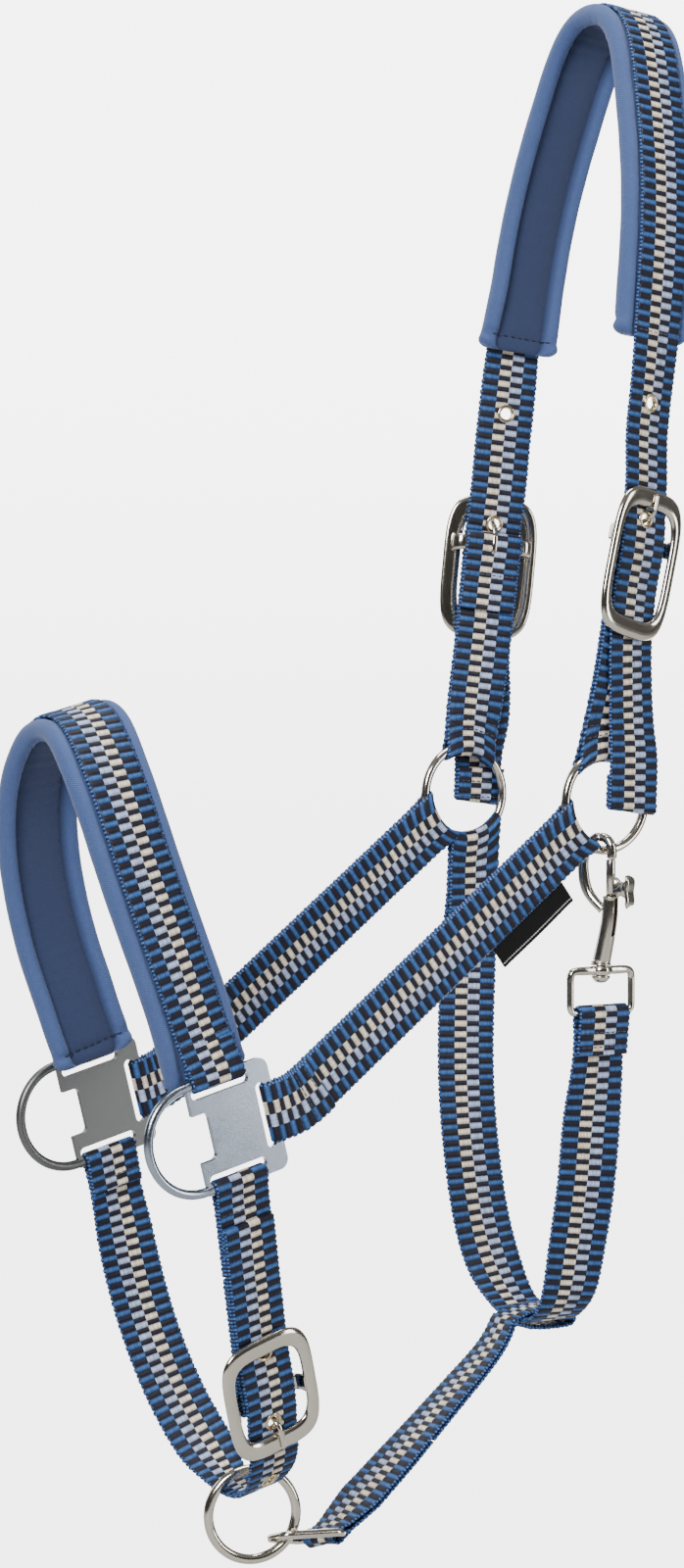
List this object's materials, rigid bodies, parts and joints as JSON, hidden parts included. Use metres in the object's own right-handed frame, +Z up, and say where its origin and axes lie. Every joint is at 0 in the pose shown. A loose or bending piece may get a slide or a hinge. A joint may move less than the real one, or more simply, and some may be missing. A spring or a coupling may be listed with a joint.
{
  "type": "horse head halter",
  "caption": "Webbing head halter with padded crown and noseband, side buckles, cheek rings and plates, a lead ring and a trigger snap at the throat.",
  "frame": {"origin": "underside of the crown pad at its top, where the halter rests on the poll", "axes": "+X towards the neck, -X towards the muzzle, -Y to the near (left) side, +Z up"},
  "size_m": [0.3171, 0.1312, 0.6751],
  "materials": {
    "webbing": "ribbed polyester webbing, blue, near-black, beige and lilac",
    "pad_fabric": "matte knitted fabric over foam",
    "label": "woven black tag, plain",
    "nickel": "bright nickel plate",
    "plate_metal": "bright zinc plate with fine spangle",
    "eyelet_metal": "pale brassy nickel",
    "spring_steel": "dull spring wire"
  },
  "bodies": {
    "crown": {"crown_strap": "webbing", "crown_pad": "pad_fabric", "crown_hanger_near": "webbing", "crown_hanger_far": "webbing", "crown_buckle_near": "nickel", "crown_buckle_far": "nickel", "crown_eyelets_near": "eyelet_metal", "crown_eyelets_far": "eyelet_metal"},
    "near_tongue": {"crown_tongue_near": "nickel"},
    "far_tongue": {"crown_tongue_far": "nickel"},
    "near_ring": {"cheek_ring_near": "nickel"},
    "far_ring": {"cheek_ring_far": "nickel"},
    "nose": {"cheek_strap_near": "webbing", "cheek_strap_far": "webbing", "label_tag": "label", "cheek_plate_near": "plate_metal", "cheek_plate_far": "plate_metal", "noseband_strap": "webbing", "noseband_pad": "pad_fabric", "chin_hanger_near": "webbing", "chin_buckle": "nickel", "chin_strap": "webbing", "chin_eyelets": "eyelet_metal", "throat_strap": "webbing", "jaw_strap": "webbing", "snap_swivel_eye": "nickel"},
    "chin_tongue_body": {"chin_tongue": "nickel"},
    "lead_ring": {"chin_ring": "nickel"},
    "link": {"chin_link": "nickel"},
    "snap": {"snap_hook": "nickel", "snap_spring": "spring_steel"},
    "bolt": {"snap_bolt": "nickel"}
  },
  "joints": [
    {"name": "nose_swing", "type": "hinge", "parent": "crown", "child": "nose", "pos_m": [-0.04538, 0, -0.34009], "axis": [0, 1, 0], "range_deg": [-3, 8]},
    {"name": "near_ring_spin", "type": "hinge", "parent": "crown", "child": "near_ring", "pos_m": [-0.04538, -0.0535, -0.34009], "axis": [0, 1, 0], "continuous": true},
    {"name": "far_ring_spin", "type": "hinge", "parent": "crown", "child": "far_ring", "pos_m": [-0.04538, 0.0535, -0.34009], "axis": [0, 1, 0], "continuous": true},
    {"name": "near_tongue_play", "type": "hinge", "parent": "crown", "child": "near_tongue", "pos_m": [-0.03035, -0.0535, -0.22748], "axis": [0.9912, 0, -0.1323], "range_deg": [0, 1.5]},
    {"name": "far_tongue_play", "type": "hinge", "parent": "crown", "child": "far_tongue", "pos_m": [-0.03035, 0.0535, -0.22748], "axis": [-0.9912, 0, 0.1323], "range_deg": [0, 1.5]},
    {"name": "chin_tongue_play", "type": "hinge", "parent": "nose", "child": "chin_tongue_body", "pos_m": [-0.20636, -0.0338, -0.58479], "axis": [-0.9681, 0, -0.2504], "range_deg": [0, 1.5]},
    {"name": "lead_ring_spin", "type": "hinge", "parent": "nose", "child": "lead_ring", "pos_m": [-0.19153, 0, -0.64211], "axis": [-0.2756, -0.9613, 0], "continuous": true},
    {"name": "link_pivot", "type": "hinge", "parent": "nose", "child": "link", "pos_m": [-0.155, 0, -0.656], "axis": [0.2349, -0.9316, 0.2773], "range_deg": [-3, 2]},
    {"name": "snap_swivel", "type": "hinge", "parent": "nose", "child": "snap", "pos_m": [-0.04748, -0.0535, -0.34009], "axis": [0, 0, 1], "range_deg": [-8, 5]},
    {"name": "bolt_slide", "type": "slide", "parent": "snap", "child": "bolt", "axis": [0, 0, -1], "range_m": [0, 0.008], "stiffness_N_per_m": 400, "springref_m": -0.008, "deforming": ["snap_spring"]}
  ]
}
